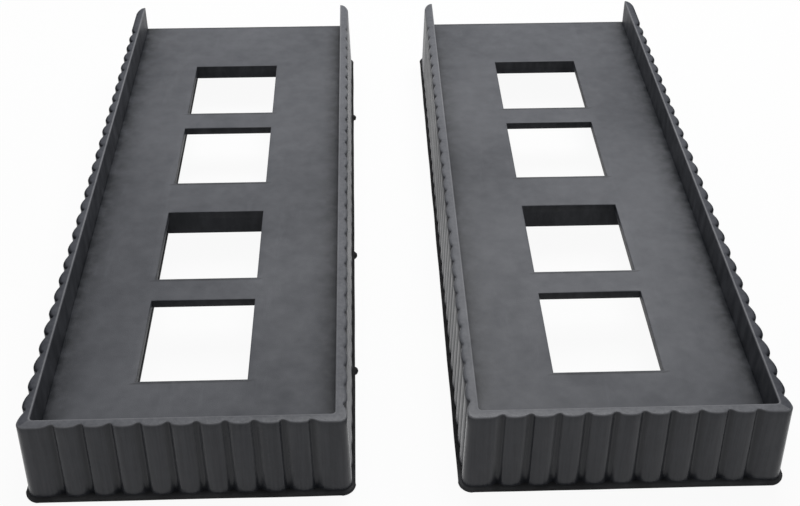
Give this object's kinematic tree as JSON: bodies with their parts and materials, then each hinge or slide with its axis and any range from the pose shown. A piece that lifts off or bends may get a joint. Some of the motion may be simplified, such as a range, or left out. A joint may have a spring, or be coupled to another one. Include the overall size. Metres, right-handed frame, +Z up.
{
  "type": "ramp leveler",
  "caption": "Pair of long moulded wheel trays for levelling a caravan, with fluted side walls, a raised deck with open windows, one open end and a rubber base ring.",
  "frame": {"origin": "on the floor, in the middle of the box round both trays", "axes": "+X across the pair to the right, +Y along the trays from the closed ends to the open ends, +Z up"},
  "size_m": [0.6126, 0.721, 0.078],
  "materials": {
    "tray_plastic": "satin dark grey moulded plastic",
    "base_rubber": "matt black rubber"
  },
  "bodies": {
    "root": {"left_tray_wall": "tray_plastic", "left_tray_deck": "tray_plastic", "left_tray_entry_skirt": "tray_plastic", "left_tray_near_beam": "tray_plastic", "left_tray_mid_beam": "tray_plastic", "left_tray_far_beam": "tray_plastic", "left_tray_left_bearer": "tray_plastic", "left_tray_right_bearer": "tray_plastic", "left_tray_side_ribs": "tray_plastic", "left_tray_base_ring": "base_rubber", "left_tray_left_foot_strip": "base_rubber", "left_tray_right_foot_strip": "base_rubber", "right_tray_wall": "tray_plastic", "right_tray_deck": "tray_plastic", "right_tray_entry_skirt": "tray_plastic", "right_tray_near_beam": "tray_plastic", "right_tray_mid_beam": "tray_plastic", "right_tray_far_beam": "tray_plastic", "right_tray_left_bearer": "tray_plastic", "right_tray_right_bearer": "tray_plastic", "right_tray_side_ribs": "tray_plastic", "right_tray_base_ring": "base_rubber", "right_tray_left_foot_strip": "base_rubber", "right_tray_right_foot_strip": "base_rubber"}
  },
  "joints": []
}
